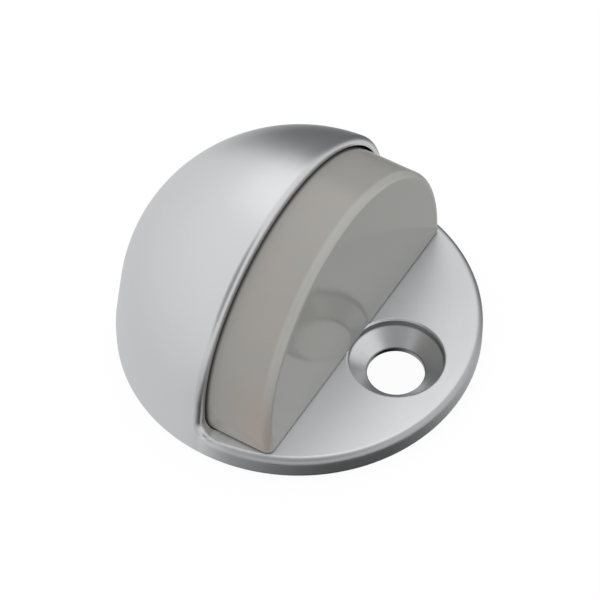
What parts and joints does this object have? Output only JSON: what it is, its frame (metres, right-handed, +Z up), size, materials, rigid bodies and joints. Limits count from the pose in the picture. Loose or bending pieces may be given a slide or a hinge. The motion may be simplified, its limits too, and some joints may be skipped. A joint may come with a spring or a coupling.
{
  "type": "floor door stop",
  "caption": "Round floor door stop: a half dome on a flat base plate, with a D-shaped rubber bumper in its flat front and a countersunk screw hole.",
  "frame": {"origin": "centre of the round base, on its underside", "axes": "+Z up from the floor, -Y the way the bumper faces, towards the door, +X along the bumper's face"},
  "size_m": [0.045, 0.045, 0.0265],
  "materials": {
    "satin_metal": "satin",
    "grey_rubber": "satin"
  },
  "bodies": {
    "root": {"dome_casting": "satin_metal", "rubber_bumper": "grey_rubber"}
  },
  "joints": []
}
